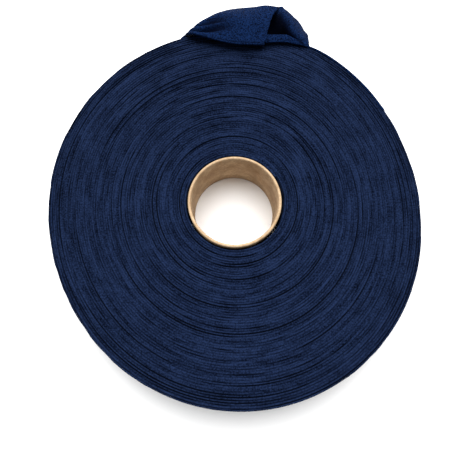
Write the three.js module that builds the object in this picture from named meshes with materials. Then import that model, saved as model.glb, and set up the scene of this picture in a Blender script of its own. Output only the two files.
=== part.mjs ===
// Roll of velvet ribbon wound on a cardboard core and lying flat, with its loose end folded back.
// Millimetres, +Z up. The roll stands on the plane z = 0 and its near face looks along +Z.
import * as THREE from "three";

// Driving dimensions
const RIBBON_WIDTH = 25;
const RIBBON_THICKNESS = 1;
const CLEARANCE = 0.3;
const CORE_BORE_RADIUS = 19.25;
const CORE_WALL = 1.25;
const CORE_PROUD = 0.6;
const ROLL_RADIUS = 83.35;
const RIM_ROUND = 0.8;
const WORN_EDGE = 0.3;

// Fineness of the round forms
const ROLL_SEGMENTS = 96;
const CORE_SEGMENTS = 64;
const FACE_RINGS = 26;
const FLAP_STATIONS = 84;
const FLAP_DIVISIONS = 12;

// Angles are in degrees, anticlockwise from +X as seen from above.
// The last turn leaves the wall here, so the wall steps in by one ribbon.
const LEAVING_ANGLE = 32;
const WALL_STEP = RIBBON_THICKNESS + CLEARANCE;

// How the wound outline departs from a circle: lobes round it, how far they stand out, and where.
const OUTLINE_LOBES = [
  { lobes: 1, height: 0.35, at: 176 },
  { lobes: 2, height: 2.43, at: 102 },
  { lobes: 3, height: 0.33, at: 61 },
  { lobes: 4, height: 0.21, at: 65 },
];

// Bands of turns that stand a little higher or lower on the near face, from the core outwards.
const FACE_BANDS = [
  { radius: 21, rise: -0.35 },
  { radius: 27, rise: 0.1 },
  { radius: 34, rise: -0.15 },
  { radius: 43, rise: 0.15 },
  { radius: 52, rise: -0.1 },
  { radius: 61, rise: 0.1 },
  { radius: 70, rise: -0.15 },
  { radius: 77, rise: 0.1 },
  { radius: 84, rise: -0.4 },
];

// The widest gaps between turns on the near face, and how far they open either side.
const GAP_HALF_WIDTH = 2.2;
const FACE_GAPS = [
  { radius: 38, from: 60, sweep: 55, depth: 0.5 },
  { radius: 46, from: 215, sweep: 95, depth: 0.6 },
  { radius: 52, from: 100, sweep: 80, depth: 0.5 },
  { radius: 58, from: 205, sweep: 100, depth: 0.6 },
  { radius: 66, from: 345, sweep: 70, depth: 0.5 },
  { radius: 71, from: 235, sweep: 80, depth: 0.6 },
  { radius: 75, from: 150, sweep: 90, depth: 0.6 },
  { radius: 79, from: 245, sweep: 75, depth: 0.7 },
];

// The last turn as it peels off the wall: its foot swings out while its top edge stays at the rim.
const PEEL = [
  { angle: 34.6, tilt: 0 },
  { angle: 42, tilt: 4 },
  { angle: 50, tilt: 13 },
  { angle: 57, tilt: 24 },
  { angle: 62, tilt: 33 },
];

// Heights of the two selvedges where the last turn still stands against the wall.
const STANDING_EDGES = { top: 24.9, foot: 0.5 };

// The loose end in cross-sections, from where it crosses the rim to its cut end, as x, y, z about the
// roll's axis: the selvedge over the roll, the middle of the ribbon, and the selvedge outside.
const FLAP = [
  { form: "opening cup", inner: [34.4, 76.4, 26.6], middle: [36.4, 82.6, 17], outer: [37.7, 92.5, 12] },
  { form: "cup", inner: [27.5, 76.8, 27.3], middle: [30.6, 84.6, 17.6], outer: [33.5, 94.6, 18] },
  { form: "cup", inner: [19.8, 76.6, 27.4], middle: [24.4, 87.4, 17.8], outer: [28.3, 96.9, 22] },
  { form: "cup", inner: [13.6, 76.6, 27.3], middle: [17.6, 88.6, 19.6], outer: [21.8, 98.2, 22.6] },
  { form: "under the flap", inner: [4, 76.9, 27.1], middle: [8, 89.2, 20], outer: [12.3, 97, 19.6] },
  { form: "under the flap", inner: [-5, 78.4, 27], middle: [-1.4, 89, 18.6], outer: [2.6, 95.6, 15] },
  { form: "under the flap", inner: [-13.2, 81.2, 26.8], middle: [-10.8, 88.2, 16.4], outer: [-7.6, 92.6, 9] },
  { form: "gathered", inner: [-19.4, 83.9, 25.2], middle: [-18.8, 87.2, 14.4], outer: [-17.6, 89.4, 3.2] },
  { form: "fold", inner: [-24.2, 82.6, 22.6], middle: [-24, 85.2, 12.5], outer: [-23.2, 86.4, 1.4] },
  { form: "fold", inner: [-26, 83.3, 22.4], middle: [-26.2, 86.6, 12.6], outer: [-25.9, 88.2, 1.4] },
  { form: "fold", inner: [-24.7, 84.6, 22.8], middle: [-24.9, 88.1, 13.4], outer: [-25, 90.4, 1.8] },
  { form: "gathered", inner: [-21.2, 81.4, 28.6], middle: [-21.8, 86.2, 24.4], outer: [-22.4, 91.8, 7.6] },
  { form: "flap", inner: [-16.2, 80.4, 29], middle: [-16.7, 89.3, 25.6], outer: [-17, 95.4, 14.6] },
  { form: "flap", inner: [-10.5, 78.8, 29.1], middle: [-9.8, 90.2, 28], outer: [-9.3, 98.6, 19.5] },
  { form: "flap", inner: [-5, 77.2, 29], middle: [-4.6, 89.4, 29.2], outer: [-4.3, 99.4, 21.4] },
  { form: "flap", inner: [0.6, 76, 28.9], middle: [1.2, 88.4, 29.5], outer: [1.2, 99.7, 22.5] },
  { form: "flap", inner: [7.4, 75.3, 28.8], middle: [8.9, 87.8, 29.4], outer: [10.2, 99.8, 23.6] },
  { form: "cut end", inner: [13.7, 75.1, 28.8], middle: [16.8, 87.3, 28.7], outer: [21.4, 98.2, 24.4] },
];

// Where the ribbon lies over the rim it turns down this far outside the wall and this much lower.
const SHOULDER_REACH = 1.6;
const SHOULDER_DROP = 0.3;

// The share of a section at which it bends where it's off the roll, and the overhangs, in millimetres
// from the wall to the inner selvedge, between which that bend becomes the one over the rim.
const PLAIN_BEND = 0.35;
const OVERHANG = { none: -1, full: 3 };

const degrees = Math.PI / 180;
const coreRadius = CORE_BORE_RADIUS + CORE_WALL;
const windingRadius = coreRadius + CLEARANCE;

const velvet = new THREE.MeshStandardMaterial({ color: 0x14234f, roughness: 0.95, metalness: 0 });
const velvetLight = new THREE.MeshStandardMaterial({ color: 0x1b3468, roughness: 0.9, metalness: 0 });
const cardboard = new THREE.MeshStandardMaterial({ color: 0xb08a5c, roughness: 0.85, metalness: 0 });

// Radius of the wound wall in one direction: lobes on a spiral that grows by one step a turn.
function wallRadius(angle) {
  const turned = THREE.MathUtils.euclideanModulo(angle - LEAVING_ANGLE, 360) / 360;
  const lobes = OUTLINE_LOBES.reduce(
    (sum, lobe) => sum + lobe.height * Math.cos(lobe.lobes * (angle - lobe.at) * degrees),
    0,
  );
  return ROLL_RADIUS + WALL_STEP * (turned - 0.5) + lobes;
}

// Height of the near face above or below the ribbon's width, from the bands and the gaps.
function faceRise(radius, angle) {
  const next = Math.max(1, FACE_BANDS.findIndex((band) => band.radius > radius));
  const outer = FACE_BANDS[next];
  const inner = FACE_BANDS[next - 1];
  const share = THREE.MathUtils.smoothstep(radius, inner.radius, outer.radius);
  const band = THREE.MathUtils.lerp(inner.rise, outer.rise, share);
  const cut = FACE_GAPS.reduce((sum, gap) => {
    const along = THREE.MathUtils.euclideanModulo(angle - gap.from, 360) / gap.sweep;
    const across = Math.abs(radius - gap.radius) / GAP_HALF_WIDTH;
    return along < 1 && across < 1 ? sum + gap.depth * Math.sin(Math.PI * along) * (1 - across) : sum;
  }, 0);
  return band - cut;
}

// Section of the winding in radius and height, from the core outwards over the face and back below.
function rollProfile() {
  const face = Array.from({ length: FACE_RINGS + 1 }, (_, ring) => {
    const radius = THREE.MathUtils.lerp(windingRadius, ROLL_RADIUS - RIM_ROUND, ring / FACE_RINGS);
    return new THREE.Vector2(radius, RIBBON_WIDTH);
  });
  const wall = [
    new THREE.Vector2(ROLL_RADIUS, RIBBON_WIDTH - RIM_ROUND),
    new THREE.Vector2(ROLL_RADIUS, RIBBON_WIDTH / 2),
    new THREE.Vector2(ROLL_RADIUS, RIM_ROUND),
    new THREE.Vector2(ROLL_RADIUS - RIM_ROUND, 0),
  ];
  const underside = [new THREE.Vector2(windingRadius, 0)];
  return [...underside, ...wall.reverse(), ...face.reverse(), underside[0].clone()];
}

// The winding: a turned ring whose turns go from round at the core to the lobed outline.
function woundRoll() {
  const geometry = new THREE.LatheGeometry(rollProfile(), ROLL_SEGMENTS).rotateX(Math.PI / 2);
  const position = geometry.attributes.position;
  for (let index = 0; index < position.count; index += 1) {
    const x = position.getX(index);
    const y = position.getY(index);
    const z = position.getZ(index);
    const radius = Math.hypot(x, y);
    const angle = Math.atan2(y, x) / degrees;
    const share = (radius - windingRadius) / (ROLL_RADIUS - windingRadius);
    const stretched = radius + share * (wallRadius(angle) - ROLL_RADIUS);
    const rise = z > RIBBON_WIDTH - RIM_ROUND / 2 ? faceRise(radius, angle) : 0;
    position.setXYZ(index, (x * stretched) / radius, (y * stretched) / radius, z + rise);
  }
  return new THREE.Mesh(geometry, velvet);
}

// The cardboard tube, with a slightly worn edge, standing a little proud of the near face.
function coreTube() {
  const top = RIBBON_WIDTH + CORE_PROUD;
  const profile = [
    [CORE_BORE_RADIUS, 0],
    [coreRadius, 0],
    [coreRadius, top - WORN_EDGE],
    [coreRadius - WORN_EDGE, top],
    [CORE_BORE_RADIUS + WORN_EDGE, top],
    [CORE_BORE_RADIUS, top - WORN_EDGE],
    [CORE_BORE_RADIUS, 0],
  ].map(([radius, height]) => new THREE.Vector2(radius, height));
  const geometry = new THREE.LatheGeometry(profile, CORE_SEGMENTS).rotateX(Math.PI / 2);
  return new THREE.Mesh(geometry, cardboard);
}

// Cross-sections of the last turn where it still lies along the wall, worked out from the peel.
function peelSections() {
  return PEEL.map(({ angle, tilt }) => {
    const radius = wallRadius(angle) + CLEARANCE + RIBBON_THICKNESS / 2;
    const at = (down) => {
      const reach = radius + down * Math.sin(tilt * degrees);
      const level = STANDING_EDGES.top - down * Math.cos(tilt * degrees);
      return new THREE.Vector3(reach * Math.cos(angle * degrees), reach * Math.sin(angle * degrees), level);
    };
    const width = STANDING_EDGES.top - STANDING_EDGES.foot;
    return { inner: at(0), middle: at(width / 2), outer: at(width) };
  });
}

// Where a section passes over the rim: a point outside the wall and above the face, which fades
// into the plain section as the inner selvedge moves off the roll.
function shoulder(inner, middle) {
  const plain = inner.clone().lerp(middle, PLAIN_BEND);
  const angle = Math.atan2(inner.y, inner.x) / degrees;
  const wall = wallRadius(angle);
  const start = Math.hypot(inner.x, inner.y);
  const end = Math.hypot(middle.x, middle.y);
  const share = THREE.MathUtils.clamp((wall + SHOULDER_REACH - start) / (end - start), 0.05, 0.9);
  const over = inner.clone().lerp(middle, share);
  over.z = Math.max(over.z, inner.z - SHOULDER_DROP);
  const onRoll = THREE.MathUtils.smoothstep(wall - start, OVERHANG.none, OVERHANG.full);
  return plain.lerp(over, onRoll);
}

// The ribbon's middle surface: stations along its length, each with points across its width.
function ribbonSurface() {
  const rows = [
    ...peelSections(),
    ...FLAP.map(({ inner, middle, outer }) => ({
      inner: new THREE.Vector3(...inner),
      middle: new THREE.Vector3(...middle),
      outer: new THREE.Vector3(...outer),
    })),
  ];
  const along = (name) => new THREE.CatmullRomCurve3(rows.map((row) => row[name]), false, "centripetal");
  const [inner, middle, outer] = ["inner", "middle", "outer"].map(along);
  return Array.from({ length: FLAP_STATIONS + 1 }, (_, station) => {
    const t = station / FLAP_STATIONS;
    const [a, b, c] = [inner, middle, outer].map((curve) => curve.getPoint(t));
    const section = new THREE.CatmullRomCurve3([a, shoulder(a, b), b, c], false, "centripetal");
    return section.getSpacedPoints(FLAP_DIVISIONS);
  });
}

// Closed solid of one thickness about a surface given as rows of points.
function sheetSolid(surface, thickness) {
  const last = { row: surface.length - 1, column: surface[0].length - 1 };
  const at = (row, column) =>
    surface[THREE.MathUtils.clamp(row, 0, last.row)][THREE.MathUtils.clamp(column, 0, last.column)];
  const normalAt = (row, column) => {
    const lengthwise = at(row + 1, column).clone().sub(at(row - 1, column));
    const across = at(row, column + 1).clone().sub(at(row, column - 1));
    return lengthwise.cross(across).normalize();
  };
  const loops = surface.map((points, row) => {
    const side = (sign) =>
      points.map((point, column) => point.clone().addScaledVector(normalAt(row, column), (sign * thickness) / 2));
    return [...side(1), ...side(-1).reverse()];
  });
  const size = loops[0].length;
  const vertices = loops.flat().flatMap((point) => point.toArray());
  const faces = [];
  for (let row = 0; row < last.row; row += 1) {
    for (let step = 0; step < size; step += 1) {
      const next = (step + 1) % size;
      const [a, b] = [row * size + step, row * size + next];
      faces.push(a, a + size, b, b, a + size, b + size);
    }
  }
  for (const [row, turned] of [[0, false], [last.row, true]]) {
    for (let column = 0; column < last.column; column += 1) {
      const [a, b] = [row * size + column, row * size + column + 1];
      const [c, d] = [row * size + size - 2 - column, row * size + size - 1 - column];
      faces.push(...(turned ? [a, d, b, b, d, c] : [a, b, d, b, c, d]));
    }
  }
  const geometry = new THREE.BufferGeometry();
  geometry.setAttribute("position", new THREE.Float32BufferAttribute(vertices, 3));
  geometry.setIndex(faces);
  return geometry;
}

function looseEnd() {
  return new THREE.Mesh(sheetSolid(ribbonSurface(), RIBBON_THICKNESS), velvetLight);
}

// The parts, placed so that the middle of the footprint is the origin.
const group = new THREE.Group();
const parts = { core_tube: coreTube(), wound_roll: woundRoll(), loose_end: looseEnd() };
for (const [name, mesh] of Object.entries(parts)) {
  mesh.name = name;
  group.add(mesh);
}
const footprint = new THREE.Box3().setFromObject(group).getCenter(new THREE.Vector3());
group.position.set(-footprint.x, -footprint.y, 0);

export default group;
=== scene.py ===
"""A roll of navy velvet ribbon on its cardboard core, lying flat with the loose end folded back."""
import math

import bmesh
import bpy
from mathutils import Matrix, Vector, noise


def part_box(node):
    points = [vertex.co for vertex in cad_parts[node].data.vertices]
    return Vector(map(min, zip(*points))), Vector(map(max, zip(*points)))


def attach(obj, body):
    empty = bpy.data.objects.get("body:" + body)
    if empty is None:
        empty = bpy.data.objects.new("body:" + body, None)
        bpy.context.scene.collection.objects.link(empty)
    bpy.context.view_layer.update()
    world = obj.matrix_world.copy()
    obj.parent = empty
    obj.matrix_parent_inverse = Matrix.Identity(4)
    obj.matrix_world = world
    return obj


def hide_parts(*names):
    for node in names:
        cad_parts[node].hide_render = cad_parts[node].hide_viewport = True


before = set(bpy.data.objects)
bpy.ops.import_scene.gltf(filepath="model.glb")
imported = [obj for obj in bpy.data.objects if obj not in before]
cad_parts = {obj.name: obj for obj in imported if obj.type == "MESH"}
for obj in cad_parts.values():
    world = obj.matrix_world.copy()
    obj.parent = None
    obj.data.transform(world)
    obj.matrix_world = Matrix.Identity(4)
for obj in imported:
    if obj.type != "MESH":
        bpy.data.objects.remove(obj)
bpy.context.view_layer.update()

MM = 0.001

# Sizes of the roll, as in the part's source
RIBBON_WIDTH = 25 * MM
RIBBON_THICKNESS = 1 * MM
CORE_BORE_RADIUS = 19.25 * MM
CORE_WALL = 1.25 * MM
CORE_PROUD = 0.6 * MM
CLEARANCE = 0.3 * MM
ROLL_RADIUS = 83.35 * MM
LEAVING_ANGLE = 32
TURNS = 61

CORE_RADIUS = CORE_BORE_RADIUS + CORE_WALL
WINDING_RADIUS = CORE_RADIUS + CLEARANCE
PITCH = (ROLL_RADIUS - WINDING_RADIUS) / (TURNS + 0.5)

# Points nearer than this are one point
WELD = 0.001 * MM

# The third coordinate of every noise that runs along a line
NOISE_DEPTH = 0.5

# How the wound outline departs from a circle: lobes round it, how far they stand out, and where
OUTLINE_LOBES = (
    dict(lobes=1, height=0.35 * MM, at=176),
    dict(lobes=2, height=2.43 * MM, at=102),
    dict(lobes=3, height=0.33 * MM, at=61),
    dict(lobes=4, height=0.21 * MM, at=65),
)

# The photograph's frame and the camera that took it, measured from the roll's axis on the table
PHOTO_SIDE = 452
FOCAL_PIXELS = 387.975
CAMERA_PLACE = Vector((-3.25, -45.87, 188.55)) * MM
CAMERA_TILT = math.radians(11.99)
CAMERA_YAW = math.radians(0.19)
SENSOR_WIDTH = 36
CLIP_START = 10 * MM

core_low, core_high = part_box("core_tube")
AXIS = Vector(((core_low[0] + core_high[0]) / 2, (core_low[1] + core_high[1]) / 2, 0))


# Materials

# Sockets of the colour Mix node, which share their names with its other kinds
MIX_DARK = 6
MIX_LIGHT = 7
MIX_COLOUR = 2

# Broad tones of the velvet, in waves to the metre, and how the face's cross ribs are spaced and waver
TONE_PATCHES = 260
RIB_SPACING = 0.62 * MM
RIB_WAVER = 0.6 * MM


def add_node(tree, kind, inputs=None, **settings):
    """One shader node with its settings made and its inputs set or linked."""
    made = tree.nodes.new(kind)
    for name, value in settings.items():
        setattr(made, name, value)
    for name, value in (inputs or {}).items():
        if isinstance(value, bpy.types.NodeSocket):
            tree.links.new(value, made.inputs[name])
        else:
            made.inputs[name].default_value = value
    return made


def weighed(tree, value, weight, base):
    """A value times its weight, on top of a base."""
    made = add_node(tree, "ShaderNodeMath", {0: value, 1: weight, 2: base}, operation="MULTIPLY_ADD")
    return made.outputs[0]


def times(tree, value, share):
    """Two values multiplied."""
    made = add_node(tree, "ShaderNodeMath", {0: value, 1: share}, operation="MULTIPLY")
    return made.outputs[0]


def new_group(name, inputs, outputs):
    """A shader node group with its inputs and outputs, and its two end nodes."""
    tree = bpy.data.node_groups.new(name, "ShaderNodeTree")
    for title, kind in inputs:
        tree.interface.new_socket(title, in_out="INPUT", socket_type=kind)
    for title, kind in outputs:
        tree.interface.new_socket(title, in_out="OUTPUT", socket_type=kind)
    return tree, tree.nodes.new("NodeGroupInput"), tree.nodes.new("NodeGroupOutput")


def velvet_pile_group():
    """Short pile: a fine uneven nap for the bump, a speckle and broader tones for the colour."""
    tree, given, out = new_group(
        "velvet pile",
        (("Place", "NodeSocketVector"), ("Grain", "NodeSocketFloat"), ("Patches", "NodeSocketFloat")),
        (("Speckle", "NodeSocketFloat"), ("Tone", "NodeSocketFloat"), ("Nap", "NodeSocketFloat")),
    )
    place = given.outputs["Place"]
    nap = add_node(
        tree, "ShaderNodeTexNoise",
        {"Vector": place, "Scale": given.outputs["Grain"], "Detail": 3, "Roughness": 0.65},
    )
    patches = add_node(
        tree, "ShaderNodeTexNoise",
        {"Vector": place, "Scale": given.outputs["Patches"], "Detail": 3, "Roughness": 0.6},
    )
    speckle = add_node(
        tree, "ShaderNodeMapRange", {"Value": nap.outputs["Fac"], "From Min": 0.34, "From Max": 0.66},
    )
    tone = add_node(
        tree, "ShaderNodeMapRange", {"Value": patches.outputs["Fac"], "From Min": 0.3, "From Max": 0.7},
    )
    tree.links.new(speckle.outputs[0], out.inputs["Speckle"])
    tree.links.new(tone.outputs[0], out.inputs["Tone"])
    tree.links.new(nap.outputs["Fac"], out.inputs["Nap"])
    return tree


def ribbon_weave_group():
    """The ribbon's fine cross ribs, read from its flat length and width in metres."""
    tree, given, out = new_group(
        "ribbon weave",
        (("Flat", "NodeSocketVector"), ("Ribs", "NodeSocketFloat")),
        (("Rib", "NodeSocketFloat"),),
    )
    parts = add_node(tree, "ShaderNodeSeparateXYZ", {0: given.outputs["Flat"]})
    waver = add_node(
        tree, "ShaderNodeTexNoise", {"Vector": given.outputs["Flat"], "Scale": 700, "Detail": 1},
    )
    shifted = weighed(tree, waver.outputs["Fac"], RIB_WAVER, parts.outputs["X"])
    turned = times(tree, shifted, given.outputs["Ribs"])
    wave = add_node(tree, "ShaderNodeMath", {0: turned}, operation="SINE")
    tree.links.new(weighed(tree, wave.outputs[0], 0.5, 0.5), out.inputs["Rib"])
    return tree


VELVET_PILE = velvet_pile_group()
RIBBON_WEAVE = ribbon_weave_group()


def new_material(name):
    """A material with its Principled shader, ready to dress."""
    made = bpy.data.materials.new(name)
    made.use_nodes = True
    return made, made.node_tree, made.node_tree.nodes["Principled BSDF"]


def set_inputs(node, values):
    """Set a node's inputs to plain values."""
    for name, value in values.items():
        node.inputs[name].default_value = value


def add_pile(tree, grain):
    """The velvet pile group in a material, its grain in waves to the metre."""
    place = add_node(tree, "ShaderNodeTexCoord")
    pile = tree.nodes.new("ShaderNodeGroup")
    pile.node_tree = VELVET_PILE
    tree.links.new(place.outputs["Object"], pile.inputs["Place"])
    set_inputs(pile, {"Grain": grain, "Patches": TONE_PATCHES})
    return pile


def dressed(tree, shader, shade, dark, light, height, strength, distance):
    """A base colour between dark and light by the shade, and a bump from the height."""
    colour = add_node(
        tree, "ShaderNodeMix", {"Factor": shade, MIX_DARK: dark, MIX_LIGHT: light}, data_type="RGBA",
    )
    bump = add_node(
        tree, "ShaderNodeBump", {"Height": height, "Strength": strength, "Distance": distance},
    )
    tree.links.new(colour.outputs[MIX_COLOUR], shader.inputs["Base Color"])
    tree.links.new(bump.outputs[0], shader.inputs["Normal"])


def wound_velvet():
    """Velvet on the selvedges of the wound turns: dark, matt and speckled, with shade painted into the
    grooves so they are darkest.
    """
    made, tree, shader = new_material("wound velvet")
    pile = add_pile(tree, grain=1450)
    tint = add_node(tree, "ShaderNodeAttribute", attribute_name="turn tint")
    # Painted shade: the more open the groove between two turns, the darker its colour
    painted_groove_shade = add_node(tree, "ShaderNodeAttribute", attribute_name="painted_groove_shade")
    speckled = weighed(tree, pile.outputs["Speckle"], 0.85, tint.outputs["Fac"])
    toned = weighed(tree, pile.outputs["Tone"], 0.22, speckled)
    lit = add_node(
        tree, "ShaderNodeMapRange",
        {"Value": painted_groove_shade.outputs["Fac"], "From Min": 0.05, "From Max": 0.95, "To Min": 1, "To Max": 0},
    )
    dressed(
        tree, shader, times(tree, toned, lit.outputs[0]),
        dark=(0.0003, 0.0009, 0.004, 1), light=(0.0095, 0.0184, 0.052, 1),
        height=pile.outputs["Nap"], strength=0.6, distance=0.4 * MM,
    )
    set_inputs(shader, {
        "Roughness": 0.95, "Specular IOR Level": 0.02,
        "Sheen Weight": 0.03, "Sheen Roughness": 0.5, "Sheen Tint": (0.35, 0.5, 0.9, 1),
    })
    return made


def face_velvet():
    """The ribbon's broad face, on the loose end: a cleaner, deeper blue with fine cross ribs, and shade
    painted dark into its creases and hollow.
    """
    made, tree, shader = new_material("velvet face")
    pile = add_pile(tree, grain=1500)
    flat = add_node(tree, "ShaderNodeUVMap", uv_map="flat ribbon")
    weave = tree.nodes.new("ShaderNodeGroup")
    weave.node_tree = RIBBON_WEAVE
    tree.links.new(flat.outputs["UV"], weave.inputs["Flat"])
    set_inputs(weave, {"Ribs": 2 * math.pi / RIB_SPACING})
    ribbed = weighed(tree, weave.outputs["Rib"], 0.35, -0.4)
    speckled = weighed(tree, pile.outputs["Speckle"], 1.4, ribbed)
    toned = weighed(tree, pile.outputs["Tone"], 0.15, speckled)
    # Painted shade: the colour darkens towards black in the creases and the cup's hollow
    painted_shade = add_node(tree, "ShaderNodeAttribute", attribute_name="painted crease shade")
    unshaded_share = add_node(
        tree, "ShaderNodeMapRange", {"Value": painted_shade.outputs["Fac"], "To Min": 1, "To Max": 0},
    )
    dressed(
        tree, shader, times(tree, toned, unshaded_share.outputs[0]),
        dark=(0.0002, 0.0008, 0.0045, 1), light=(0.0036, 0.0135, 0.053, 1),
        height=weighed(tree, weave.outputs["Rib"], 0.4, pile.outputs["Nap"]),
        strength=0.5, distance=0.3 * MM,
    )
    set_inputs(shader, {
        "Roughness": 0.9, "Specular IOR Level": 0.02,
        "Sheen Weight": 0.015, "Sheen Roughness": 0.4, "Sheen Tint": (0.3, 0.5, 1, 1),
    })
    return made


def core_cardboard():
    """Brown cardboard of the core, with fine fibres and broader blotches."""
    made, tree, shader = new_material("core cardboard")
    place = add_node(tree, "ShaderNodeTexCoord")
    fibres = add_node(
        tree, "ShaderNodeTexNoise",
        {"Vector": place.outputs["Object"], "Scale": 900, "Detail": 5, "Roughness": 0.7},
    )
    blotches = add_node(
        tree, "ShaderNodeTexNoise",
        {"Vector": place.outputs["Object"], "Scale": 140, "Detail": 3},
    )
    mixed = times(tree, fibres.outputs["Fac"], blotches.outputs["Fac"])
    ramp = add_node(tree, "ShaderNodeMapRange", {"Value": mixed, "From Min": 0.12, "From Max": 0.4})
    dressed(
        tree, shader, ramp.outputs[0],
        dark=(0.3, 0.19, 0.1, 1), light=(0.56, 0.41, 0.26, 1),
        height=fibres.outputs["Fac"], strength=0.5, distance=0.3 * MM,
    )
    set_inputs(shader, {"Roughness": 0.85, "Specular IOR Level": 0.25})
    return made


def plain_white():
    """The pale floor's material."""
    made, tree, shader = new_material("plain white floor")
    set_inputs(shader, {"Base Color": (0.9, 0.9, 0.9, 1), "Roughness": 0.9})
    return made


# Pieces

def object_from(mesh, name, material):
    """An object in the scene, made from a bmesh in one material."""
    data = bpy.data.meshes.new(name)
    mesh.to_mesh(data)
    mesh.free()
    data.materials.append(material)
    made = bpy.data.objects.new(name, data)
    bpy.context.scene.collection.objects.link(made)
    return made


def finished(mesh, name, material, node):
    """A bmesh made about the roll's axis becomes a piece that replaces a node and rides on the part."""
    bmesh.ops.translate(mesh, verts=mesh.verts, vec=AXIS)
    piece = object_from(mesh, name, material)
    for face in piece.data.polygons:
        face.use_smooth = True
    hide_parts(node)
    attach(piece, "root")
    return piece


def lobed(radius, angle):
    """A radius of the winding, drawn out towards the lobed outline; the angle is in degrees."""
    lobes = sum(
        lobe["height"] * math.cos(lobe["lobes"] * math.radians(angle - lobe["at"]))
        for lobe in OUTLINE_LOBES
    )
    return radius + lobes * (radius - WINDING_RADIUS) / (ROLL_RADIUS - WINDING_RADIUS)


# A turn's selvedge in section: how far across the turn, and how deep below its crest
SELVEDGE = (
    dict(across=0.0, dip=1.0),
    dict(across=0.15, dip=0.6),
    dict(across=0.32, dip=0.12),
    dict(across=0.5, dip=0.0),
    dict(across=0.68, dip=0.12),
    dict(across=0.85, dip=0.6),
)
UNDER_SELVEDGE = (
    dict(across=0.0, dip=1.0),
    dict(across=0.5, dip=0.0),
)
WINDING_STEPS = 180

# A turn's number is held to this, against rounding
TURN_SLACK = 1e-4

GROOVE_DEPTH = 0.34 * MM
PRESSED_DEPTH_SHARE = 0.4
OPEN_GAP_DEPTH = 1.5 * MM
OPEN_GAP_FROM = 0.85
WIDEST_GROOVE = 1.25
LOOSE_TURNS_FROM = 0.88
# The outer wall's colour is darkened by this fixed share, on the groove shade's scale
OUTER_WALL_DARKENING = 0.22
UNDERSIDE_LIFT = 0.12 * MM
UNDERSIDE_RISE_SHARE = 0.5

# Waves along the ribbon: how strong, how long in millimetres, and the seed that sets one apart. They shift
# the turns sideways, lift them, tint them, and open and part the grooves between them.
TURN_SHIFT = dict(strength=0.14 * MM, wavelength=70, seed=3.1)
LONG_RISE = dict(strength=0.12 * MM, wavelength=60, seed=7.7)
SHORT_RISE = dict(strength=0.08 * MM, wavelength=9, seed=1.3)
SHORT_TINT = dict(strength=0.36, wavelength=9, seed=21.4)
LONG_TINT = dict(strength=0.2, wavelength=60, seed=30.2)
PLAIN_TINT = 0.06
SHORT_DASHES = dict(strength=0.85, wavelength=5, seed=5.5)
LONG_DASHES = dict(strength=0.35, wavelength=22, seed=8.2)
PLAIN_GROOVE = 0.4
PARTING = dict(strength=1, wavelength=95, seed=12.9)

# Where the parting wave is above its level the turns part, and sooner among the loose outer turns
PARTING_LEVEL = 0.3
PARTING_GAIN = 3.2
SOONER_WHEN_LOOSE = 0.22
WIDER_WHEN_LOOSE = 0.35
NARROWEST_GROOVE = 0.06


def ribbon_length(turns):
    """Length of ribbon wound in a number of turns, in millimetres."""
    return 2 * math.pi * (WINDING_RADIUS * turns + PITCH * turns * turns / 2) / MM


def along_ribbon(turns, wave):
    """Smooth noise that runs along the wound ribbon, as long and as strong as its wave."""
    place = Vector((ribbon_length(turns) / wave["wavelength"], wave["seed"], NOISE_DEPTH))
    return wave["strength"] * noise.noise(place)


def groove_at(turns):
    """How open the groove between two turns is: 0 where they press together, 1 where they part."""
    outward = turns / TURNS
    loose = min(max((outward - LOOSE_TURNS_FROM) / (1 - LOOSE_TURNS_FROM), 0), 1)
    dashes = PLAIN_GROOVE + along_ribbon(turns, SHORT_DASHES) + along_ribbon(turns, LONG_DASHES)
    above = along_ribbon(turns, PARTING) - PARTING_LEVEL + SOONER_WHEN_LOOSE * loose
    parted = PARTING_GAIN * max(0, above)
    return min(max(dashes, NARROWEST_GROOVE) + parted + WIDER_WHEN_LOOSE * loose, WIDEST_GROOVE)


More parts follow.
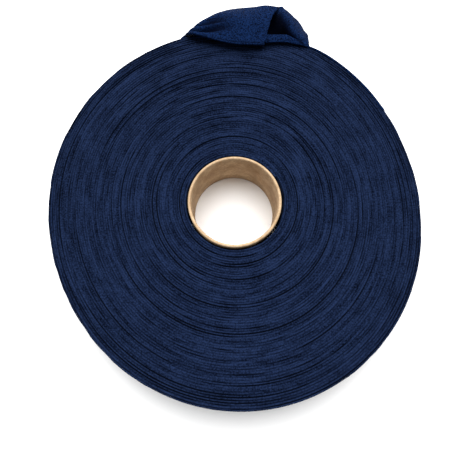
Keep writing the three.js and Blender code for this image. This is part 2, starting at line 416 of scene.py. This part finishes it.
def wound_roll():
    """The winding: the section through every turn, spun round the axis and drawn into one spiral."""
    mesh = bmesh.new()
    turn = mesh.verts.layers.float.new("turn")
    dip = mesh.verts.layers.float.new("dip")
    tint = mesh.verts.layers.float.new("turn tint")
    painted_groove_shade = mesh.verts.layers.float.new("painted_groove_shade")
    section = []
    for side, order, marks in ((1, 1, SELVEDGE), (-1, -1, UNDER_SELVEDGE)):
        places = [(k + mark["across"], mark["dip"]) for k in range(TURNS) for mark in marks]
        places.append((TURNS, 1.0))
        for across, depth in places[::order]:
            vert = mesh.verts.new((WINDING_RADIUS + across * PITCH, 0, side))
            vert[turn] = across
            vert[dip] = depth
            section.append(vert)
    edges = [mesh.edges.new(pair) for pair in zip(section, section[1:] + section[:1])]
    first = set(section)
    last = bmesh.ops.spin(
        mesh, geom=section + edges, cent=(0, 0, 0), axis=(0, 0, 1), dvec=(0, 0, 0),
        angle=2 * math.pi, steps=WINDING_STEPS, use_merge=False, use_duplicate=False,
    )["geom_last"]
    last = {item for item in last if isinstance(item, bmesh.types.BMVert)}
    for vert in mesh.verts:
        x, y, side = vert.co
        share = (math.atan2(y, x) / (2 * math.pi)) % 1
        if vert in first:
            share = 0
        if vert in last:
            share = 1
        angle = LEAVING_ANGLE + 360 * share
        crest = min(math.floor(vert[turn] + TURN_SLACK), TURNS - 1) + share
        valley = math.floor(vert[turn] + 0.5) + share
        radius = lobed(WINDING_RADIUS + (vert[turn] + share) * PITCH, angle)
        radius += along_ribbon(valley, TURN_SHIFT)
        open_by = groove_at(valley)
        rise = along_ribbon(crest, LONG_RISE) + along_ribbon(crest, SHORT_RISE)
        gap = OPEN_GAP_DEPTH * max(0, open_by - OPEN_GAP_FROM)
        depth = vert[dip] * (GROOVE_DEPTH * (PRESSED_DEPTH_SHARE + open_by) + gap)
        on_the_wall = vert[turn] > TURNS - TURN_SLACK
        # Painted shade: a groove's colour is darkened by how open it is, and the outer wall by a fixed share
        vert[painted_groove_shade] = OUTER_WALL_DARKENING if on_the_wall else vert[dip] * open_by
        vert[tint] = PLAIN_TINT + along_ribbon(crest, SHORT_TINT) + along_ribbon(crest, LONG_TINT)
        if side > 0:
            height = RIBBON_WIDTH + rise - depth
        else:
            height = max(0, UNDERSIDE_LIFT + UNDERSIDE_RISE_SHARE * rise) + depth
        turned = math.radians(angle)
        vert.co = (radius * math.cos(turned), radius * math.sin(turned), height)
    bmesh.ops.remove_doubles(mesh, verts=mesh.verts, dist=WELD)
    bmesh.ops.holes_fill(mesh, edges=[edge for edge in mesh.edges if edge.is_boundary])
    bmesh.ops.recalc_face_normals(mesh, faces=mesh.faces)
    return finished(mesh, "wound_ribbon", WOUND_VELVET, "wound_roll")


CORE_STEPS = 180


def core_tube():
    """The cardboard tube with a softly rounded lip."""
    mesh = bmesh.new()
    top = RIBBON_WIDTH + CORE_PROUD
    profile = (
        (CORE_BORE_RADIUS, 0),
        (CORE_RADIUS, 0),
        (CORE_RADIUS, top - 0.4 * MM),
        (CORE_RADIUS - 0.25 * MM, top - 0.1 * MM),
        (CORE_RADIUS - 0.6 * MM, top),
        (CORE_BORE_RADIUS + 0.3 * MM, top - 0.1 * MM),
        (CORE_BORE_RADIUS, top - 0.5 * MM),
    )
    section = [mesh.verts.new((radius, 0, height)) for radius, height in profile]
    edges = [mesh.edges.new(pair) for pair in zip(section, section[1:] + section[:1])]
    bmesh.ops.spin(
        mesh, geom=section + edges, cent=(0, 0, 0), axis=(0, 0, 1), dvec=(0, 0, 0),
        angle=2 * math.pi, steps=CORE_STEPS, use_merge=True, use_duplicate=False,
    )
    bmesh.ops.remove_doubles(mesh, verts=mesh.verts, dist=WELD)
    bmesh.ops.recalc_face_normals(mesh, faces=mesh.faces)
    return finished(mesh, "cardboard_core", CORE_CARDBOARD, "core_tube")


# The last turn as it leaves the wall: its foot swings out while its top edge stays at the rim. Angles and
# tilts are in degrees, the heights of its two edges and its distance off the wall in millimetres.
PEEL = (
    dict(angle=32.02, tilt=0),
    dict(angle=40, tilt=3),
    dict(angle=48, tilt=9),
    dict(angle=55, tilt=18),
    dict(angle=60.5, tilt=28),
)
STANDING_TOP = 24.9
STANDING_FOOT = 0.5
OFF_THE_WALL = 0.62

# The loose end in cross-sections, in millimetres about the roll's axis: from its inner selvedge, over the
# rim, down a trough, up to a crest and out to its outer selvedge. A plain section has only its middle, and
# its other marks lie at the plain shares of its width.
FLAP = (
    # It leaves the wall
    dict(inner=(35.8, 75.8, 25.4), middle=(38.2, 81.9, 16), outer=(41, 87.9, 4.5)),
    # It flares out
    dict(inner=(34.3, 75.9, 25.6), brow=(34.9, 77.6, 25.4), trough=(35.4, 79.3, 24.4),
         crest=(36, 81.3, 22.6), slope=(37.4, 86, 16.5), outer=(39.6, 90.8, 8)),
    dict(inner=(32.8, 76.4, 25.7), brow=(33.2, 78, 25.9), trough=(33.6, 79.2, 25.2),
         crest=(34.2, 80.3, 25), slope=(36.3, 86.4, 20), outer=(38.3, 93.3, 9.8)),
    # A crease across it
    dict(inner=(30, 76.7, 26), brow=(30.4, 78, 26.5), trough=(30.7, 78.8, 25.6),
         crest=(30.9, 79.6, 26.6), slope=(33.9, 87.1, 21.8), outer=(35.9, 94.4, 13.7)),
    # The cup
    dict(inner=(27.3, 77.2, 26.3), brow=(27.5, 79.3, 27), trough=(27.7, 80.4, 24.7),
         crest=(28, 81.4, 27.4), slope=(31.2, 88.8, 24), outer=(32.8, 95.4, 17.9)),
    dict(inner=(24.3, 77.4, 26.6), brow=(24.7, 80.5, 27.2), trough=(25.1, 82.6, 22.6),
         crest=(25.8, 84.6, 27.9), slope=(28.4, 90.9, 25.5), outer=(29.9, 95.8, 20.7)),
    dict(inner=(21.1, 77.4, 26.8), brow=(21.3, 80.4, 27.3), trough=(22.4, 84.2, 21),
         crest=(24, 87.6, 28), slope=(26.1, 92.4, 26.5), outer=(27.4, 96.1, 23.2)),
    dict(inner=(17.5, 77.2, 26.9), brow=(17.8, 80.4, 27.3), trough=(19.5, 85.2, 20.2),
         crest=(22.8, 92.4, 27.5), slope=(23.8, 94.2, 26.8), outer=(24.6, 96.9, 24.9)),
    # It runs on under the flap
    dict(inner=(14, 77, 26.9), brow=(14.3, 80.8, 27.1), trough=(16, 86.3, 19.8),
         crest=(20.4, 94.2, 24.6), slope=(21.3, 95.9, 25.3), outer=(22.3, 97.6, 25.5)),
    dict(inner=(3, 77.4, 26.8), brow=(3.5, 83.2, 26), trough=(5.2, 86.6, 20),
         crest=(9.5, 91.2, 21.4), slope=(11.6, 93.6, 21.2), outer=(13.8, 95.8, 20.4)),
    dict(inner=(-5, 78.6, 26.8), middle=(-1.4, 89, 18.6), outer=(2.6, 95.2, 15)),
    dict(inner=(-13.6, 80.8, 26.4), middle=(-10.8, 88.2, 16.4), outer=(-7.6, 92.6, 9)),
    # It gathers and folds back at the left
    dict(inner=(-19.2, 80.8, 25.9), middle=(-18.8, 86.8, 14.4), outer=(-17.6, 89.4, 3.2)),
    dict(inner=(-24.2, 82.4, 22.6), middle=(-24, 85.2, 12.5), outer=(-23.2, 86.4, 1.4)),
    dict(inner=(-25.6, 82.6, 22.4), middle=(-26, 86, 12.6), outer=(-25.9, 88, 1.4)),
    dict(inner=(-23.9, 83.6, 23.2), middle=(-24.2, 87.2, 14.4), outer=(-24.8, 90.2, 1.8)),
    dict(inner=(-21.4, 81.1, 28.2), middle=(-20.9, 85.7, 24.6), outer=(-21.8, 91.2, 7.6)),
    # It comes back on top
    dict(inner=(-16, 79.5, 29), middle=(-16.1, 88.6, 26.2), outer=(-16.8, 95.4, 14.6)),
    dict(inner=(-10.5, 77.5, 29.1), middle=(-9.8, 90, 28.1), outer=(-9.3, 98.3, 19.5)),
    dict(inner=(-5, 76, 29), middle=(-4.6, 89.4, 29.2), outer=(-4.3, 99.1, 21.3)),
    dict(inner=(0.6, 75, 28.8), middle=(1.2, 88.4, 29.5), outer=(1.2, 99.3, 22.4)),
    dict(inner=(7.3, 74.7, 28.7), middle=(8.9, 87.8, 29.4), outer=(10.2, 99, 23.8)),
    dict(inner=(10.6, 74.6, 28.7), middle=(12.8, 87.4, 29.4), outer=(15.8, 98.4, 25.5)),
    # The cut end
    dict(inner=(14.1, 74.6, 28.5), brow=(15.1, 77.8, 28.9), trough=(15.7, 81.1, 29.2),
         crest=(16.8, 85.2, 29.3), slope=(18.8, 91, 28.9), outer=(21.8, 96, 27.1)),
)
SECTION_MARKS = ("inner", "brow", "trough", "crest", "slope", "outer")
PLAIN_SHARES = (0, 0.12, 0.24, 0.45, 0.72, 1)
FLAP_LENGTH = 173 * MM
FLAP_STATIONS = 320
FLAP_DIVISIONS = 84
STEPS_ALONG = 400
STEPS_ACROSS = 80

# Creases on the flat ribbon, each a line of marks: millimetres along it from where it leaves the wall,
# millimetres across it from its inner selvedge, how deep it presses down, how far it reaches towards the
# inner and towards the outer selvedge, and how much shade is painted into it. The edge says how sharply it
# ends.
CREASES = (
    # The hollow of the cup: no dent, only shade painted into it
    dict(edge=8, marks=(
        (57, 0.6, 0, 0.3, 0.3, 0.8), (60.5, 2.5, 0, 0.8, 1, 1), (66.7, 8, 0, 3, 3, 1),
        (70.4, 12, 0, 7, 4.2, 1), (75, 17, 0, 12, 4.4, 1), (90, 20, 0, 14, 6, 1),
    )),
    # The upper fold that fans out from the left, with shade painted into it
    dict(edge=3, marks=(
        (133.5, 7, 1.2, 0.7, 1.4, 1), (138.4, 7.2, 1.8, 0.9, 1.9, 1), (142.1, 8.3, 1.9, 1, 2.6, 1),
        (146, 9.7, 1.6, 1.1, 3.2, 0.95), (150, 11, 1, 1.4, 3.4, 0.7), (156, 13, 0, 2, 3.6, 0),
    )),
    # The lower fold beside it, with shade painted into it
    dict(edge=3, marks=(
        (132, 3, 1, 0.8, 1.1, 1), (138.4, 2.9, 1.6, 0.9, 1.5, 1), (142.1, 4, 1.9, 1.2, 1.9, 1),
        (146, 5.4, 1.8, 1.6, 2.2, 1), (150, 7, 1.2, 2.2, 2.6, 0.8), (158, 9.8, 0, 2.6, 3, 0),
    )),
    # A dark line along the flap's inner selvedge: a shallow groove with shade painted into it
    dict(edge=2, marks=(
        (147, 0.9, 0.1, 0.3, 0.3, 0.2), (153, 0.8, 0.25, 0.34, 0.34, 0.9),
        (173, 0.8, 0.25, 0.34, 0.34, 1),
    )),
)

# How far the cut edge frays, in millimetres, and the waves of its noise to the millimetre
CUT_EDGE_FRAY = 0.3
FRAYS_TO_MILLIMETRE = 1.7
FRAY_SEED = 4.2


# The least length, in millimetres, of a span between two marks and of a step along a line
SHORTEST_SPAN = 0.01
SHORTEST_STEP = 1e-9


def knots_of(points):
    """Knots that let a smooth curve pass unevenly spaced points without a loop."""
    knots = [0]
    for a, b in zip(points, points[1:]):
        knots.append(knots[-1] + max((b - a).length, SHORTEST_SPAN) ** 0.5)
    return knots


def smooth_through(points, share, knots=None):
    """The point at a share of a smooth curve through the points, evenly knotted unless told."""
    knots = knots or list(range(len(points)))
    last = len(points) - 1
    place = min(max(share, 0), 1) * knots[last]
    step = 0
    while step < last - 1 and knots[step + 1] <= place:
        step += 1
    here, there = points[step], points[step + 1]
    before = points[step - 1] if step else here * 2 - there
    after = points[step + 2] if step + 2 <= last else there * 2 - here
    t1, t2 = knots[step], knots[step + 1]
    t0 = knots[step - 1] if step else 2 * t1 - t2
    t3 = knots[step + 2] if step + 2 <= last else 2 * t2 - t1
    first = before.lerp(here, (place - t0) / (t1 - t0))
    second = here.lerp(there, (place - t1) / (t2 - t1))
    third = there.lerp(after, (place - t2) / (t3 - t2))
    low = first.lerp(second, (place - t0) / (t2 - t0))
    high = second.lerp(third, (place - t1) / (t3 - t1))
    return low.lerp(high, (place - t1) / (t2 - t1))


def wall_at(angle):
    """The wall's radius in millimetres, where the loose end leaves it or lies over it."""
    turned = ((angle - LEAVING_ANGLE) % 360) / 360
    return lobed(ROLL_RADIUS + PITCH * (turned - 0.5), angle) / MM


def peel_sections():
    """Cross-sections of the last turn where it still stands along the wall."""
    for mark in PEEL:
        angle = math.radians(mark["angle"])
        tilt = math.radians(mark["tilt"])
        start = wall_at(mark["angle"]) + OFF_THE_WALL
        places = []
        for share in PLAIN_SHARES:
            down = share * (STANDING_TOP - STANDING_FOOT)
            reach = start + down * math.sin(tilt)
            height = STANDING_TOP - down * math.cos(tilt)
            places.append(Vector((reach * math.cos(angle), reach * math.sin(angle), height)))
        yield places


def flap_sections():
    """Cross-sections of the loose end, each with all its marks."""
    for row in FLAP:
        if "middle" in row:
            plain = [Vector(row[name]) for name in ("inner", "middle", "outer")]
            yield [smooth_through(plain, share, knots_of(plain)) for share in PLAIN_SHARES]
        else:
            yield [Vector(row[name]) for name in SECTION_MARKS]


def even_steps(points, count):
    """Even distances along a line of points: the number of the point before each, and the part beyond it."""
    lengths = [0]
    for a, b in zip(points, points[1:]):
        lengths.append(lengths[-1] + (b - a).length)
    step = 0
    for i in range(count + 1):
        want = lengths[-1] * i / count
        while step < len(points) - 2 and lengths[step + 1] < want:
            step += 1
        yield step, (want - lengths[step]) / max(lengths[step + 1] - lengths[step], SHORTEST_STEP)


def spaced(points, count):
    """Points evenly spaced along a line through many points."""
    return [points[step].lerp(points[step + 1], part) for step, part in even_steps(points, count)]


def even_stations(columns, count):
    """Shares of the columns at which the stations lie evenly along the ribbon."""
    middle = []
    for i in range(STEPS_ALONG + 1):
        places = [smooth_through(column, i / STEPS_ALONG) for column in columns]
        middle.append(sum(places, Vector((0, 0, 0))) / len(columns))
    return [(step + part) / STEPS_ALONG for step, part in even_steps(middle, count)]


def crease_at(crease, along, across):
    """How far a crease presses at a place on the flat ribbon, in millimetres, and how much shade is painted
    there.
    """
    place = Vector((along, across))
    nearest = None
    for mark, following in zip(crease["marks"], crease["marks"][1:]):
        start = Vector(mark[:2])
        way = Vector(following[:2]) - start
        share = min(max((place - start).dot(way) / way.length_squared, 0), 1)
        off = place - start - way * share
        if nearest is None or off.length < nearest[0]:
            outwards = off.y * way.x > off.x * way.y
            held_here = [a + (b - a) * share for a, b in zip(mark[2:], following[2:])]
            nearest = off.length, outwards, held_here
    away, outwards, (depth, inner_reach, outer_reach, painted_shade) = nearest
    held = math.exp(-(away / (outer_reach if outwards else inner_reach)) ** crease["edge"])
    return depth * held, painted_shade * held


def loose_surface():
    """Rows of points over the loose end, from the wall to the cut end, and how much shade is painted at
    each.
    """
    sections = [*peel_sections(), *flap_sections()]
    columns = [list(column) for column in zip(*sections)]
    surface = []
    for share in even_stations(columns, FLAP_STATIONS):
        section = [smooth_through(column, share) for column in columns]
        knots = knots_of(section)
        fine = [smooth_through(section, i / STEPS_ACROSS, knots) for i in range(STEPS_ACROSS + 1)]
        surface.append(spaced(fine, FLAP_DIVISIONS))
    pressed = []
    for i, row in enumerate(surface):
        made = []
        for j, point in enumerate(row):
            length = surface[min(i + 1, FLAP_STATIONS)][j] - surface[max(i - 1, 0)][j]
            width = row[min(j + 1, FLAP_DIVISIONS)] - row[max(j - 1, 0)]
            up = length.cross(width).normalized()
            along = i / FLAP_STATIONS * FLAP_LENGTH / MM
            across = j / FLAP_DIVISIONS * RIBBON_WIDTH / MM
            depth = 0
            painted_shade = 0
            for crease in CREASES:
                down, shade_here = crease_at(crease, along, across)
                depth += down
                painted_shade = max(painted_shade, shade_here)
            if i == FLAP_STATIONS:
                fray = noise.noise((across * FRAYS_TO_MILLIMETRE, FRAY_SEED, NOISE_DEPTH))
                point = point + length.normalized() * CUT_EDGE_FRAY * fray
            made.append((point - up * depth, painted_shade))
        pressed.append(made)
    return pressed


def loose_end():
    """The ribbon's loose end: a flat length laid through its cross-sections, then given thickness."""
    surface = loose_surface()
    mesh = bmesh.new()
    flat = mesh.loops.layers.uv.new("flat ribbon")
    painted_shade = mesh.verts.layers.float.new("painted crease shade")
    bmesh.ops.create_grid(mesh, x_segments=FLAP_STATIONS, y_segments=FLAP_DIVISIONS, size=0.5)
    for vert in mesh.verts:
        vert.co.x = (vert.co.x + 0.5) * FLAP_LENGTH
        vert.co.y = (vert.co.y + 0.5) * RIBBON_WIDTH
    for face in mesh.faces:
        for corner in face.loops:
            corner[flat].uv = corner.vert.co.xy
    for vert in mesh.verts:
        station = round(vert.co.x / FLAP_LENGTH * FLAP_STATIONS)
        division = round(vert.co.y / RIBBON_WIDTH * FLAP_DIVISIONS)
        point, vert[painted_shade] = surface[station][division]
        vert.co = point * MM
    piece = finished(mesh, "ribbon_loose_end", FACE_VELVET, "loose_end")
    thick = piece.modifiers.new("ribbon thickness", "SOLIDIFY")
    thick.thickness = RIBBON_THICKNESS
    thick.offset = 0
    return piece


# Setting

FLOOR_HALF_SIDE = 1.5
SOFT_BOX_PLACE = (0, 0.6, 1.04)
SOFT_BOX_SIDE = 1.4
SOFT_BOX_POWER = 44
SURROUND_LIGHT = 0.31


def white_floor():
    """A plain pale floor under the roll."""
    mesh = bmesh.new()
    bmesh.ops.create_grid(mesh, x_segments=1, y_segments=1, size=FLOOR_HALF_SIDE)
    floor = object_from(mesh, "floor", plain_white())


def studio():
    """One large soft box high on the far side, with a weak even surround that looks white."""
    data = bpy.data.lights.new("far soft box", "AREA")
    data.shape = "SQUARE"
    data.size = SOFT_BOX_SIDE
    data.energy = SOFT_BOX_POWER
    light = bpy.data.objects.new("far soft box", data)
    light.location = SOFT_BOX_PLACE
    towards = Vector((0, 0, 0)) - Vector(SOFT_BOX_PLACE)
    light.rotation_euler = towards.to_track_quat("-Z", "Y").to_euler()
    bpy.context.scene.collection.objects.link(light)
    world = bpy.data.worlds.new("white surround")
    world.use_nodes = True
    tree = world.node_tree
    surround = tree.nodes["Background"]
    surround.inputs["Color"].default_value = (1, 1, 1, 1)
    path = add_node(tree, "ShaderNodeLightPath")
    strength = add_node(
        tree, "ShaderNodeMapRange",
        {"Value": path.outputs["Is Camera Ray"], "To Min": SURROUND_LIGHT, "To Max": 1},
    )
    tree.links.new(strength.outputs[0], surround.inputs["Strength"])
    bpy.context.scene.world = world
    bpy.context.scene.view_settings.view_transform = "Standard"


def photo_camera():
    """The camera at the photograph's place and angle."""
    data = bpy.data.cameras.new("photo camera")
    data.sensor_width = SENSOR_WIDTH
    data.lens = SENSOR_WIDTH * FOCAL_PIXELS / PHOTO_SIDE
    data.clip_start = CLIP_START
    camera = bpy.data.objects.new("photo camera", data)
    camera.location = AXIS + CAMERA_PLACE
    camera.rotation_euler = (CAMERA_TILT, CAMERA_YAW, 0)
    bpy.context.scene.collection.objects.link(camera)
    bpy.context.scene.camera = camera


WOUND_VELVET = wound_velvet()
FACE_VELVET = face_velvet()
CORE_CARDBOARD = core_cardboard()

photo_camera()
white_floor()
studio()
wound_roll()
core_tube()
loose_end()
